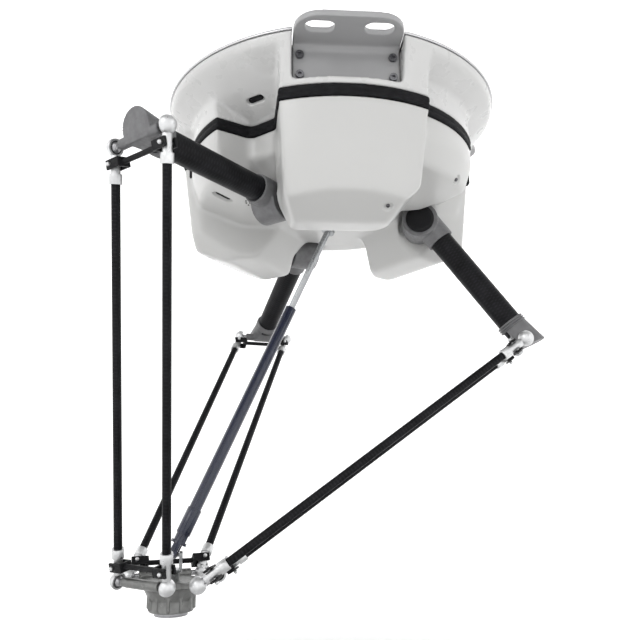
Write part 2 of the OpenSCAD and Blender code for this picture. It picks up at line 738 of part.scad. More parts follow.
module elbow(k) {
    sleeve = elbow_l + tube_seat;
    color(cast_grey) at_arm(k) translate([arm_l, 0, 0]) difference() {
        union() {
            intersection() {
                translate([-sleeve, 0, tube_rise]) rotate([0, 90, 0])
                    cylinder(r1 = tube_d / 2 + 3, r2 = elbow_d / 2 + 2, h = sleeve + 2 * elbow_nose);
                slab_y(-far, far) polygon([
                    [-sleeve - 1, -boss_d / 2], [elbow_nose - 20 * tan(elbow_lean), -boss_d / 2],
                    [elbow_nose + 60 * tan(elbow_lean), 70], [-sleeve - 1, 70]
                ]);
            }
            shaft_y(boss_d / 2, -half_gap + boss_gap, half_gap - boss_gap);
        }
        translate([0, 0, tube_rise]) shaft_x(tube_d / 2 + run_fit, -sleeve - 1, -elbow_l);
        shaft_y(stud_d / 2 + run_fit, -far, far);
    }
}
module ball_pair() {
    for (y = SIDES) translate([0, y * half_gap, 0]) sphere(d = ball_d);
    shaft_y(stud_d / 2, -half_gap, half_gap);
}
module elbow_balls(k) {
    color(bright) at_arm(k) translate([arm_l, 0, 0]) ball_pair();
}
// A cup between two spheres that opens towards the middle of its pair.
module cup(side, inner, outer, wrap) {
    rotate([side > 0 ? -90 : 90, 0, 0]) rotate_extrude() intersection() {
        difference() {
            circle(r = outer);
            circle(r = inner);
        }
        translate([0, -outer * sin(wrap)]) square([outer + 1, 2 * outer + 1]);
    }
}
module liner(side) cup(side, ball_d / 2 + liner_fit, cup_d / 2 - liner_fit, cup_wrap - 2);
module elbow_liners(k) {
    color(black) at_pair(k) for (side = SIDES)
        translate([0, side * half_gap, 0]) rotate([0, 0, rod_swing(k)]) liner(side);
}
module lower_liners(k) {
    color(black) at_pair(k) for (side = SIDES)
        translate([0, side * half_gap, 0]) rotate([0, 0, rod_swing(k)]) translate([rod_l, 0, 0]) liner(side);
}
// A rod end with its ball at the origin and the rod along X.
module rod_end(side) {
    cup(side, cup_d / 2, cup_r, cup_wrap);
    difference() {
        union() {
            shaft_x(neck_d / 2, cup_d / 2 + cup_wall / 2, neck_l);
            shaft_x(rod_socket_d / 2, neck_l, neck_l + rod_socket_l);
            translate([bar_at, 0, -pin_l / 2]) cylinder(d = pin_d, h = pin_l);
            for (z = SIDES) translate([bar_at, 0, z * (pin_l / 2 + pin_d / 4)]) sphere(d = 1.3 * pin_d);
        }
        shaft_x(rod_d / 2 + run_fit, neck_l + rod_socket_l - rod_seat, far);
    }
}
pin_l = neck_d + 2 * cheek_t + 6 * face_gap + 3;
cheek_in = neck_d / 2 + 3 * face_gap;
module rod_ends(k, side) {
    color(bright) at_rod(k, side) {
        rod_end(side);
        translate([rod_l, 0, 0]) mirror([1, 0, 0]) rod_end(side);
    }
}
module rod_tube(k, side) {
    from = neck_l + rod_socket_l - rod_seat;
    color(carbon) at_rod(k, side) difference() {
        shaft_x(rod_d / 2, from, rod_l - from);
        shaft_x(rod_d / 2 - rod_wall, from - 1, rod_l - from + 1);
    }
}
// A retaining bar between the two rods, dist along them from their upper balls.
module retaining_bar(k, dist) {
    web = 18;
    color(black) at_pair(k) translate([dist * cos(rod_swing(k)), dist * sin(rod_swing(k)), 0]) {
        for (side = SIDES) translate([0, side * half_gap, 0]) mirror([0, side > 0 ? 1 : 0, 0]) difference() {
            translate([-cheek_w / 2, -10, -cheek_in - cheek_t])
                cube([cheek_w, web + 16, 2 * (cheek_in + cheek_t)]);
            translate([-far, -far, -cheek_in]) cube([2 * far, far + web, 2 * cheek_in]);
            translate([0, 0, -far]) cylinder(d = pin_d + 2 * run_fit, h = 2 * far);
        }
        shaft_y(5, -half_gap + web + 5, half_gap - web - 5);
    }
}

module platform() {
    color(bright) at_platform() difference() {
        union() {
            translate([0, 0, -plat_drop]) cylinder(d = plat_hub_d, h = plat_drop);
            translate([0, 0, -40]) cylinder(d1 = plat_hub_d - 5, d2 = plat_hub_d + 26, h = 42 - plat_plate);
            translate([0, 0, -plat_plate]) cylinder(d = plat_hub_d + 30, h = plat_plate);
            each_arm() {
                translate([plat_r, 0, 0]) shaft_y(boss_d / 2 - 1, -half_gap + boss_gap, half_gap - boss_gap);
                translate([20, -half_gap + boss_gap + 4, 1.5 - plat_plate])
                    cube([plat_r - 20, rod_gap - 2 * boss_gap - 8, plat_plate - 3]);
            }
            for (a = [0:30:359]) rotate([0, 0, a]) translate([plat_hub_d / 2 - 2, -2, -plat_drop + 4])
                cube([6, 4, plat_drop - 8]);
        }
        translate([0, 0, -plat_drop - 1]) cylinder(d = bearing_d, h = bearing_h + 1);
        translate([0, 0, -plat_drop - 1]) cylinder(d = spindle_d + 4, h = 40);
        each_arm() translate([plat_r, 0, 0]) shaft_y(stud_d / 2 + run_fit, -far, far);
    }
}
module platform_balls() {
    color(bright) at_platform() each_arm() translate([plat_r, 0, 0]) {
        for (y = SIDES) translate([0, y * half_gap, 0]) sphere(d = ball_d);
        shaft_y(stud_d / 2, -half_gap, half_gap);
    }
}
module spindle_bearing() {
    color(cast_grey) at_platform() translate([0, 0, -plat_drop]) difference() {
        cylinder(d = bearing_d - 2 * run_fit, h = bearing_h);
        translate([0, 0, -1]) cylinder(d = spindle_d + 2 * run_fit, h = bearing_h + 2);
    }
}
module tool_flange() {
    color(cast_grey) at_platform() difference() {
        union() {
            translate([0, 0, flange_z]) cylinder(d = flange_d, h = flange_t);
            translate([0, 0, flange_z + flange_t - 1]) cylinder(d = spindle_d, h = 36);
        }
        translate([0, 0, flange_z - 1]) cylinder(d = flange_bore_d, h = flange_bore_l + 1);
        for (a = [45:90:359]) rotate([0, 0, a]) translate([flange_pcd / 2, 0, flange_z - 1])
            cylinder(d = flange_hole_d, h = flange_t + 2);
    }
}

function shown(name) = node == "all" || node == name;
if (shown("base_frame")) base_frame();
if (shown("top_lid")) top_lid();
if (shown("seal_band")) seal_band();
if (shown("lower_cover")) lower_cover();
for (k = [0:2]) if (shown(FEET[k])) foot(k);
if (shown("foot_screws")) foot_screws();
if (shown("cover_screws")) cover_screws();
if (shown("core_frame")) core_frame();
if (shown("gearboxes")) gearboxes();
if (shown("motors")) motors();
if (shown("wrist_motor")) wrist_motor();
if (shown("upper_yoke")) upper_yoke();
for (k = [0:2]) {
    if (shown(str("hub_", LIMBS[k]))) hub(k);
    if (shown(str("hub_cap_", LIMBS[k]))) hub_cap(k);
    if (shown(str("arm_tube_", LIMBS[k]))) arm_tube(k);
    if (shown(str("elbow_", LIMBS[k]))) elbow(k);
    if (shown(str("elbow_balls_", LIMBS[k]))) elbow_balls(k);
    if (shown(str("elbow_liners_", LIMBS[k]))) elbow_liners(k);
    for (i = [1, 2]) {
        if (shown(str("rod_tube_", LIMBS[k], i))) rod_tube(k, 2 * i - 3);
        if (shown(str("rod_ends_", LIMBS[k], i))) rod_ends(k, 2 * i - 3);
    }
    if (shown(str("upper_bar_", LIMBS[k]))) retaining_bar(k, bar_at);
    if (shown(str("lower_bar_", LIMBS[k]))) retaining_bar(k, rod_l - bar_at);
}
if (shown("lower_liners_c")) lower_liners(2);
if (shown("upper_cross")) upper_cross();
if (shown("sliding_rod")) sliding_rod();
if (shown("outer_tube")) outer_tube();
if (shown("lower_cross")) lower_cross();
if (shown("lower_yoke")) lower_yoke();
if (shown("platform")) platform();
if (shown("platform_balls")) platform_balls();
if (shown("spindle_bearing")) spindle_bearing();
if (shown("tool_flange")) tool_flange();
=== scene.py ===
"""Looks for the ceiling-hung delta robot: soft covers, cast joints, carbon tubes, fittings and studio."""
import json
import math
import bmesh
import bpy
import numpy as np
from mathutils import Matrix, Quaternion, Vector
from mathutils.bvhtree import BVHTree


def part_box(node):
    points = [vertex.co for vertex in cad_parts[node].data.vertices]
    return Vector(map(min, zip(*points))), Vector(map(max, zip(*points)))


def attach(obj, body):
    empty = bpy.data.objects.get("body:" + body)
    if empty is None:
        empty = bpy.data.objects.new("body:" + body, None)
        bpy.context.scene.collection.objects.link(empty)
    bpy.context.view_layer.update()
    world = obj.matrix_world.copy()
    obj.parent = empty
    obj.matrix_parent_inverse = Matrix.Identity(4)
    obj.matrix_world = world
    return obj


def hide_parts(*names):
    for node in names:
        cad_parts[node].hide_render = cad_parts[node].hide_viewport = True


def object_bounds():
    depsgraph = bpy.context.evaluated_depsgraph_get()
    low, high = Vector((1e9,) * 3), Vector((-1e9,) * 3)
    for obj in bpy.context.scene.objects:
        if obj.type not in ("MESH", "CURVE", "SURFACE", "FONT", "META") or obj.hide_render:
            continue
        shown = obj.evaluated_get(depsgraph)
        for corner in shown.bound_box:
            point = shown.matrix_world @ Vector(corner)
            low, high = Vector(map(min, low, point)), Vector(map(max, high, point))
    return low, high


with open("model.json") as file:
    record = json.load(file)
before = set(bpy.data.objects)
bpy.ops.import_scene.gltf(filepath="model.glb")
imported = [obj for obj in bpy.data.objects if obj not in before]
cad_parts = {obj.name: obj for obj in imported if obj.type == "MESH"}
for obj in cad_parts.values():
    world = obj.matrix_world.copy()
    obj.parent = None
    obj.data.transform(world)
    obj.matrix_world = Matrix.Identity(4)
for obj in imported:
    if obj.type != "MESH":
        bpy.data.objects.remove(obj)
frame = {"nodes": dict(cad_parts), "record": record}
cad_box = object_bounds()
nodes = frame["nodes"]
MM = 0.001  # scene.py works in metres
LIMBS = "abc"
TURN = 120  # degrees from one lobe of the casing to the next
FRONT = -90  # the front lobe's direction round Z, in degrees
ARM_TURN = 42  # degrees from an arm back to its lobe
Z_AXIS = Vector((0, 0, 1))
SEAL_LOW, SEAL_HIGH = (corner[2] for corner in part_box("seal_band"))
TUBE_RADIUS, TUBE_WALL = 26 * MM, 3 * MM
ROD_RADIUS, ROD_WALL = 8 * MM, 1.5 * MM
ROUND_SIDES = 64  # flats round a tube or a ring


# ---------------------------------------------------------------- materials
NOISE_LOW, NOISE_HIGH = 0.3, 0.7  # most values of a noise texture lie between these


class Nodes:
    """A material's node tree, built through short calls."""

    def __init__(self, name, colour, rough, metal=0.0, **sockets):
        self.material = bpy.data.materials.new(name)
        self.material.use_nodes = True
        self.tree = self.material.node_tree
        self.shader = self.tree.nodes["Principled BSDF"]
        self.set("Base Color", (*colour, 1))
        self.set("Roughness", rough)
        self.set("Metallic", metal)
        for key, value in sockets.items():
            self.set(key.replace("_", " "), value)
        self.coordinates = self.tree.nodes.new("ShaderNodeTexCoord")

    def set(self, socket, value):
        self.shader.inputs[socket].default_value = value

    def link(self, out, into):
        self.tree.links.new(out, into)

    def mapped(self, scale, source="Object"):
        """Coordinates, scaled per metre along each axis."""
        mapping = self.tree.nodes.new("ShaderNodeMapping")
        mapping.inputs["Scale"].default_value = scale
        self.link(self.coordinates.outputs[source], mapping.inputs["Vector"])
        return mapping.outputs["Vector"]

    def noise(self, scale, detail, vector=None):
        noise = self.tree.nodes.new("ShaderNodeTexNoise")
        noise.inputs["Scale"].default_value = scale
        noise.inputs["Detail"].default_value = detail
        self.link(vector or self.coordinates.outputs["Object"], noise.inputs["Vector"])
        return noise.outputs["Fac"]

    def ramp(self, value, low, high, start, end):
        """Colours from low to high as value goes from start to end."""
        ramp = self.tree.nodes.new("ShaderNodeValToRGB")
        for element, colour, place in zip(ramp.color_ramp.elements, (low, high), (start, end)):
            element.color = (*colour, 1)
            element.position = place
        self.link(value, ramp.inputs["Fac"])
        return ramp.outputs["Color"]

    def span(self, value, low, high, start=NOISE_LOW, end=NOISE_HIGH, ease="LINEAR"):
        """Numbers from low to high as value goes from start to end."""
        mapped = self.tree.nodes.new("ShaderNodeMapRange")
        mapped.interpolation_type = ease
        for socket, number in (("From Min", start), ("From Max", end), ("To Min", low), ("To Max", high)):
            mapped.inputs[socket].default_value = number
        self.link(value, mapped.inputs["Value"])
        return mapped.outputs["Result"]

    def maths(self, operation, *values):
        """A sum or product, whose values are numbers or other nodes' outputs."""
        step = self.tree.nodes.new("ShaderNodeMath")
        step.operation = operation
        for socket, value in zip(step.inputs, values):
            if isinstance(value, float):
                socket.default_value = value
            else:
                self.link(value, socket)
        return step.outputs["Value"]

    def colour(self, value, low, high, start=NOISE_LOW, end=NOISE_HIGH):
        self.link(self.ramp(value, low, high, start, end), self.shader.inputs["Base Color"])

    def rough(self, value, low, high):
        self.link(self.span(value, low, high), self.shader.inputs["Roughness"])

    def bump(self, height, strength, distance):
        bump = self.tree.nodes.new("ShaderNodeBump")
        bump.inputs["Strength"].default_value = strength
        bump.inputs["Distance"].default_value = distance
        self.link(height, bump.inputs["Height"])
        self.link(bump.outputs["Normal"], self.shader.inputs["Normal"])


def shade(colour, factor):
    """A darker or lighter colour."""
    return tuple(min(1.0, c * factor) for c in colour)


def painted(name, colour, rough, coat, peel=0.12):
    """Sprayed paint: an orange-peel surface under a clear coat, with faint handling marks in its gloss."""
    m = Nodes(name, colour, rough, Coat_Weight=coat, Coat_Roughness=0.12)
    m.colour(m.noise(5, 2), shade(colour, 0.985), shade(colour, 1.01))
    m.rough(m.noise(30, 3), rough - 0.03, rough + 0.05)
    m.bump(m.noise(420, 2), peel, 0.0003)
    return m.material


def moulded(name, colour, rough, grain=0.25):
    """Moulded plastic: an eroded fine grain and a slow drift of shade."""
    m = Nodes(name, colour, rough, Specular_IOR_Level=0.14)
    m.colour(m.noise(6, 3), shade(colour, 0.955), shade(colour, 1.015))
    m.rough(m.noise(90, 4), rough - 0.05, rough + 0.08)
    m.bump(m.noise(1500, 2), grain, 0.0002)
    return m.material


def cast_metal(name, colour, rough=0.5, grain=0.5, metal=0.75):
    """Sand-blasted cast metal: pits, a cloudy tone and duller patches."""
    m = Nodes(name, colour, rough, metal)
    m.colour(m.noise(55, 6), shade(colour, 0.82), shade(colour, 1.1))
    m.rough(m.noise(160, 4), rough - 0.1, rough + 0.12)
    m.bump(m.noise(1100, 6), grain, 0.0004)
    return m.material


def brushed(name, colour, rough=0.3, stretch=(900, 900, 25)):
    """Turned or brushed metal: fine lines along one direction."""
    m = Nodes(name, colour, rough, 0.95, Anisotropic=0.4)
    lines = m.noise(1.0, 6, m.mapped(stretch))
    m.colour(lines, shade(colour, 0.84), shade(colour, 1.08))
    m.rough(lines, rough - 0.08, rough + 0.12)
    m.bump(lines, 0.18, 0.0002)
    return m.material


def rubber(name, colour):
    """Extruded rubber: dull, cloudy and a little rough to the touch."""
    m = Nodes(name, colour, 0.62, Specular_IOR_Level=0.1)
    m.colour(m.noise(70, 5), shade(colour, 0.75), shade(colour, 1.35))
    m.rough(m.noise(240, 4), 0.52, 0.74)
    m.bump(m.noise(900, 4), 0.3, 0.0003)
    return m.material


def carbon(name, colour):
    """Wound carbon fibre under matt resin: a twill of light and dark tows, and cloudy resin."""
    m = Nodes(name, colour, 0.42, Specular_IOR_Level=0.1)
    along, around = 90, 26  # tows per metre, before the wave's own scale
    waves = []
    for slope in (1, -1):
        wave = m.tree.nodes.new("ShaderNodeTexWave")
        wave.bands_direction = "DIAGONAL"
        wave.inputs["Scale"].default_value = 1.0
        wave.inputs["Distortion"].default_value = 0.6
        wave.inputs["Detail"].default_value = 1.0
        m.link(m.mapped((along, slope * around, 1), "UV"), wave.inputs["Vector"])
        waves.append(wave.outputs["Fac"])
    weave = m.maths("MULTIPLY", *waves)
    mixed = m.maths("MULTIPLY_ADD", weave, 0.45, m.span(m.noise(30, 6), 0.1, 0.5))
    m.colour(mixed, shade(colour, 0.4), shade(colour, 2.6), 0.1, 0.9)
    m.rough(m.noise(60, 4), 0.34, 0.52)
    m.bump(weave, 0.14, 0.0003)
    return m.material


LOOKS = {
    "cast_white": painted("cast_white", (0.5, 0.5, 0.495), 0.28, 0.4),
    "cover_white": painted("cover_white", (0.46, 0.46, 0.452), 0.34, 0.3),
    "seal_black": rubber("seal_black", (0.008, 0.008, 0.009)),
    "lid_steel": brushed("lid_steel", (0.56, 0.56, 0.57), 0.34, (300, 300, 30)),
    "bracket_grey": painted("bracket_grey", (0.29, 0.29, 0.294), 0.38, 0.25),
    "screw_steel": brushed("screw_steel", (0.16, 0.16, 0.17), 0.34),
    "core_aluminium": cast_metal("core_aluminium", (0.6, 0.6, 0.61)),
    "motor_black": painted("motor_black", (0.03, 0.03, 0.032), 0.42, 0.1),
    "joint_steel": brushed("joint_steel", (0.38, 0.39, 0.4), 0.28),
    "shaft_navy": painted("shaft_navy", (0.005, 0.008, 0.026), 0.22, 0.3, 0.06),
    "casting_grey": cast_metal("casting_grey", (0.15, 0.15, 0.154), 0.5, 0.45, 0.4),
    "cap_black": moulded("cap_black", (0.008, 0.008, 0.009), 0.55, 0.5),
    "carbon": carbon("carbon", (0.006, 0.006, 0.007)),
    "ball_steel": brushed("ball_steel", (0.36, 0.36, 0.37), 0.28, (700, 700, 700)),
    "liner_plastic": moulded("liner_plastic", (0.05, 0.05, 0.052), 0.5),
    "rod_end_bright": cast_metal("rod_end_bright", (0.64, 0.645, 0.65), 0.36, 0.4, 0.85),
    "bar_black": moulded("bar_black", (0.009, 0.009, 0.01), 0.5, 0.4),
    "platform_cast": cast_metal("platform_cast", (0.19, 0.192, 0.187), 0.36, 0.6, 0.85),
    "spindle_steel": brushed("spindle_steel", (0.3, 0.3, 0.31), 0.3, (300, 300, 900)),
}
# Painted shade: a black for the dark discs that stand in for the shade inside holes.
PAINTED_HOLE_SHADE = moulded("painted_hole_shade", (0.006, 0.006, 0.006), 0.8, 0.1)
SLOTS = {part["node"]: part["material_slot"] for part in frame["record"]["subparts"]}


def body_of(node):
    """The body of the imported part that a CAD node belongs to."""
    bodies = frame["record"]["behaviour"]["bodies"]
    return next(name for name, members in bodies.items() if node in members)


def dress(obj, slot, material=None):
    """obj gets one material: its slot's look, unless another is given."""
    obj.data.materials.clear()
    obj.data.materials.append(material or LOOKS[slot])


def add_piece(name, mesh, slot, body, replaces=(), material=None, smooth=True):
    """A piece of the visual model that takes slot's finish and rides on body."""
    obj = bpy.data.objects.new(name, mesh)
    bpy.context.scene.collection.objects.link(obj)
    dress(obj, slot, material)
    mesh.polygons.foreach_set("use_smooth", [smooth] * len(mesh.polygons))
    mesh.update()
    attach(obj, body)
    if replaces:
        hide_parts(*replaces)


# ---------------------------------------------------------------- mesh tools
RELAX_SHARE = 0.6  # how much of the way to its neighbours' middle a vertex goes in a round


def read_points(mesh):
    """A mesh's vertices as an array of rows."""
    points = np.empty(len(mesh.vertices) * 3)
    mesh.vertices.foreach_get("co", points)
    return points.reshape(-1, 3)


def write_points(mesh, points):
    """Moves a mesh's vertices to an array's rows."""
    mesh.vertices.foreach_set("co", points.ravel())
    mesh.update()


def relaxed(mesh, rounds, weight=None):
    """Moves every vertex towards its neighbours, which rounds the edges of a voxel mesh."""
    points = read_points(mesh)
    edges = np.empty(len(mesh.edges) * 2, dtype=np.int64)
    mesh.edges.foreach_get("vertices", edges)
    first, second = edges.reshape(-1, 2).T
    count = np.bincount(edges, minlength=len(points))[:, None]
    share = RELAX_SHARE * (np.ones(len(points)) if weight is None else weight(points))[:, None]
    for _ in range(rounds):
        total = np.empty_like(points)
        for axis in range(3):
            total[:, axis] = np.bincount(first, points[second, axis], len(points))
            total[:, axis] += np.bincount(second, points[first, axis], len(points))
        points += share * (total / count - points)
    write_points(mesh, points)


def recast(node, voxel, rounds, weight=None):
    """A copy of a CAD node's mesh with soft edges, as a casting or a moulding has."""
    copy = bpy.data.objects.new("recast", nodes[node].data.copy())
    bpy.context.scene.collection.objects.link(copy)
    remesh = copy.modifiers.new("Remesh", "REMESH")
    remesh.mode = "VOXEL"
    remesh.voxel_size = voxel
    view_layer = bpy.context.evaluated_depsgraph_get()
    mesh = bpy.data.meshes.new_from_object(copy.evaluated_get(view_layer))
    bpy.data.objects.remove(copy)
    relaxed(mesh, rounds, weight)
    return mesh


def bevelled(node, width):
    """Broken edges on a CAD node, by modifiers."""
    obj = nodes[node]
    weld = obj.modifiers.new("Weld", "WELD")
    weld.merge_threshold = 0.01 * MM
    bevel = obj.modifiers.new("Bevel", "BEVEL")
    bevel.width = width
    bevel.segments = 2
    bevel.limit_method = "ANGLE"
    bevel.angle_limit = math.radians(35)
    bevel.use_clamp_overlap = True
    bevel.harden_normals = True


def circle(sides):
    """(cosine, sine) of equal steps round a circle."""
    return [(math.cos(a), math.sin(a)) for a in (2 * math.pi * i / sides for i in range(sides))]


def skinned(bm, rings):
    """Quads between closed rings of vertices, as (ring, step, face)."""
    faces = []
    for k, (low, high) in enumerate(zip(rings, rings[1:])):
        for i in range(len(low)):
            j = (i + 1) % len(low)
            faces.append((k, i, bm.faces.new((low[i], low[j], high[j], high[i]))))
    return faces


def finished(bm, name, outward=True):
    """A new mesh from bm, with its faces turned outwards unless they already are."""
    if outward:
        bmesh.ops.recalc_face_normals(bm, faces=bm.faces)
    mesh = bpy.data.meshes.new(name)
    bm.to_mesh(mesh)
    bm.free()
    return mesh


def lathe(profile, sides):
    """A closed mesh turned round X from (x, radius) points, with U along it and V round it, in metres."""
    bm = bmesh.new()
    rings = [[bm.verts.new((x, radius * c, radius * s)) for c, s in circle(sides)] for x, radius in profile]
    uv = bm.loops.layers.uv.new("UVMap")
    around = 2 * math.pi * max(radius for _, radius in profile)
    for k, i, face in skinned(bm, rings):
        for loop, (x, turn) in zip(face.loops, ((k, i), (k, i + 1), (k + 1, i + 1), (k + 1, i))):
            loop[uv].uv = (profile[x][0], around * turn / sides)
    for ring in (rings[0], rings[-1]):
        bm.faces.new(ring)
    return finished(bm, "lathe")


def aligned(origin, along):
    """The matrix that takes X to a direction at a place."""
    return Matrix.Translation(origin) @ Vector(along).to_track_quat("X", "Z").to_matrix().to_4x4()


def spine(node):
    """(middle, direction, half length) of a long CAD node."""
    points = read_points(nodes[node].data)
    middle = (points.max(axis=0) + points.min(axis=0)) / 2
    values, vectors = np.linalg.eigh(np.cov((points - middle).T))
    direction = vectors[:, values.argmax()]
    reach = (points - middle) @ direction
    middle = middle + direction * (reach.max() + reach.min()) / 2
    return Vector(middle), Vector(direction), (reach.max() - reach.min()) / 2


def join(meshes):
    """One mesh out of several."""
    bm = bmesh.new()
    for mesh in meshes:
        bm.from_mesh(mesh)
    return finished(bm, "joined", outward=False)


def placed(mesh, matrix):
    """The mesh, moved by a matrix."""
    mesh.transform(matrix)
    return mesh


def round_z(angle):
    """The matrix that turns round Z by an angle in degrees."""
    return Matrix.Rotation(math.radians(angle), 4, "Z")


# ---------------------------------------------------------------- covers
COVER_VOXEL = 3 * MM  # the mesh of the two soft covers
SUNK = 0.1 * MM  # how far a fitting sits in the floor of its hollow
LEVER_WIDTH, LEVER_HEIGHT = 11 * MM, 4 * MM


def away_from(*levels):
    """Full weight except near the given heights, where a cover meets another piece."""
    reach, held = 6 * MM, 0.15

    def weight(points):
        near = np.min([np.abs(points[:, 2] - level) for level in levels], axis=0)
        return np.clip(near / reach - held, 0, 1)
    return weight


class Dish:
    """A soft round or oval hollow in a cover, with its place, outward normal and long direction."""
    SLAB = 9 * MM  # points farther than this from the dish's plane stay
    FLANK = 0.45  # the share of the radius that the sloping side takes

    def __init__(self, place, normal, radius, depth, half_run=0.0, along=Z_AXIS):
        self.place, self.normal = place, normal
        self.radius, self.depth, self.half_run = radius, depth, half_run
        side = normal.cross(along).normalized()
        self.along = side.cross(normal).normalized()

    def distance(self, points):
        """How far each point is from the dish's middle line, within its plane."""
        offset = points - np.array(self.place)
        run = np.clip(offset @ np.array(self.along), -self.half_run, self.half_run)
        offset = offset - run[:, None] * np.array(self.along)
        height = offset @ np.array(self.normal)
        flat = np.linalg.norm(offset - height[:, None] * np.array(self.normal), axis=1)
        return np.where(np.abs(height) < self.SLAB, flat, 1.0)

    def sunk(self, points):
        """The points, pressed in by the dish: steep near its rim, and flat on its floor."""
        rise = np.clip((self.radius - self.distance(points)) / (self.FLANK * self.radius), 0, 1)
        fall = self.depth * (3 * rise ** 2 - 2 * rise ** 3)
        return points - fall[:, None] * np.array(self.normal)

    def matrix(self, depth):
        """Takes Z to the dish's normal and X to its long direction, at depth under its rim."""
        across = self.normal.cross(self.along)
        turn = Matrix((self.along, across, self.normal)).transposed().to_4x4()
        return Matrix.Translation(self.place - depth * self.normal) @ turn


def surface(mesh, angle, radius, height):
    """The first point and downward normal of a mesh, looking up from a height at a place round Z."""
    tree = BVHTree.FromPolygons([v.co for v in mesh.vertices], [p.vertices for p in mesh.polygons])
    a = math.radians(angle)
    start = Vector((radius * math.cos(a), radius * math.sin(a), height))
    place, normal, _, _ = tree.ray_cast(start, Z_AXIS)
    return place, normal if normal.z < 0 else -normal


def dished(mesh, dishes):
    """Presses dishes into a mesh, which gets finer faces there first."""
    margin = 4 * MM
    for dish in dishes:
        bm = bmesh.new()
        bm.from_mesh(mesh)
        bm.verts.ensure_lookup_table()
        points = np.array([v.co for v in bm.verts])
        near = dish.distance(points) < dish.radius + margin
        edges = [e for e in bm.edges if near[e.verts[0].index] and near[e.verts[1].index]]
        bmesh.ops.subdivide_edges(bm, edges=edges, cuts=2, use_grid_fill=True)
        bm.to_mesh(mesh)
        bm.free()
        write_points(mesh, dish.sunk(read_points(mesh)))


def standing(profile):
    """A small lathe that stands on Z instead of X."""
    return placed(lathe(profile, 24), Matrix.Rotation(math.radians(-90), 4, "Y"))


def socket_screw(radius, height):
    """A cap screw's head with a chamfer and a deep socket, standing on Z."""
    chamfer, socket = 0.15 * radius, 0.5 * radius
    return standing([(0, radius), (height - chamfer, radius), (height, radius - chamfer),
                     (height, socket), (0.35 * height, 0.9 * socket), (0.3 * height, 0.1 * socket)])


def slug(length, width, height, edge):
    """A bar with round ends and soft edges, standing on Z and lying along X."""
    bm = bmesh.new()
    steps, half, radius = 10, (length - width) / 2, width / 2
    outline = []
    for side in (1, -1):
        for i in range(steps + 1):
            a = side * math.pi / 2 - math.pi * i / steps
            outline.append((side * half + radius * math.cos(a), radius * math.sin(a)))
    rings = []
    for inset, z in ((0, 0), (0, height - edge), (0.3 * edge, height - 0.3 * edge), (edge, height)):
        scale_x, scale_y = 1 - 2 * inset / length, 1 - 2 * inset / width
        rings.append([bm.verts.new((x * scale_x, y * scale_y, z)) for x, y in outline])
    skinned(bm, rings)
    bm.faces.new(rings[0])
    bm.faces.new(rings[-1])
    return finished(bm, "slug")


def fitted(dishes, make):
    """One mesh of what make() builds, once in each dish and standing on its floor."""
    return join([placed(make(), dish.matrix(dish.depth + SUNK)) for dish in dishes])


def lower_cover():
    """The moulded lower cover with its screw dimples, its release slots and its breather."""
    mesh = recast("lower_cover", COVER_VOXEL, 28, away_from(SEAL_LOW))
    below = -450 * MM
    beside_lobe, lobe_radius, flank_radius = 16, 289 * MM, 304 * MM
    dimples = [(FRONT + TURN * k + beside_lobe, lobe_radius) for k in range(3)]
    dimples += [(angle, flank_radius) for angle in (-35, 85)]
    dishes = [Dish(*surface(mesh, angle, radius, below), 13 * MM, 4.5 * MM) for angle, radius in dimples]
    slots = []
    for angle in (-159, 81):
        outward = round_z(angle) @ Vector((1, 0, 0))
        slots.append(Dish(*surface(mesh, angle, 265 * MM, below), 12 * MM, 8 * MM, 13 * MM, outward))
    breather = Dish(*surface(mesh, -149, 211 * MM, below), 24 * MM, 1.2 * MM)
    dished(mesh, dishes + slots + [breather])
    add_piece("moulded_lower_cover", mesh, "cover_white", "base", ["lower_cover"])

    screws = fitted(dishes, lambda: socket_screw(4 * MM, 3 * MM))
    add_piece("cover_fixing_screws", screws, "screw_steel", "base", smooth=False)
    levers = fitted(slots, lambda: slug(34 * MM, LEVER_WIDTH, LEVER_HEIGHT, 1 * MM))
    add_piece("release_levers", levers, "cap_black", "base", smooth=False)
    # The breather's holes are painted shade: dark discs, not openings.
    add_piece("breather_hole_shade", breather_hole_shade(breather), "cap_black", "base", material=PAINTED_HOLE_SHADE, smooth=False)


def breather_hole_shade(dish):
    """Dark discs of painted shade, which stand for the breather's holes, in two rings round a middle one,
    and stand a hair above the dish's floor.
    """
    radius, height, proud, spacing = 1.7 * MM, 0.8 * MM, 0.2 * MM, 8 * MM
    at = dish.matrix(dish.depth + height - proud)
    holes = []
    for ring, count in enumerate((1, 6, 12)):
        for i in range(count):
            around = Matrix.Rotation(2 * math.pi * i / count, 4, "Z")
            disc = standing([(0, radius), (height, radius)])
            holes.append(placed(disc, at @ around @ Matrix.Translation((ring * spacing, 0, 0))))
    return join(holes)


def upper_casing():
    """The cast upper casing with a latch recess over each arm."""
    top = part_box("base_frame")[1][2]
    mesh = recast("base_frame", COVER_VOXEL, 18, away_from(SEAL_HIGH, top))
    beside_arm, radius, below = 3, 281 * MM, -100 * MM
    recesses = []
    for k in range(3):
        angle = FRONT - ARM_TURN + beside_arm + TURN * k
        sideways = round_z(angle) @ Vector((0, 1, 0))
        recesses.append(Dish(*surface(mesh, angle, radius, below), 9.5 * MM, 7 * MM, 14 * MM, sideways))
    dished(mesh, recesses)
    add_piece("cast_upper_casing", mesh, "cast_white", "base", ["base_frame"])
    levers = fitted(recesses, lambda: slug(36 * MM, LEVER_WIDTH, LEVER_HEIGHT, 1.2 * MM))
    add_piece("casing_latches", levers, "cap_black", "base", smooth=False)


def box_mesh(size, edge, segments=2):
    """A block with soft edges, centred."""
    bm = bmesh.new()
    bmesh.ops.create_cube(bm, size=1, matrix=Matrix.Diagonal((*size, 1)))
    bmesh.ops.bevel(bm, geom=bm.edges[:], offset=edge, segments=segments, affect="EDGES", profile=0.5)
    return finished(bm, "block", outward=False)


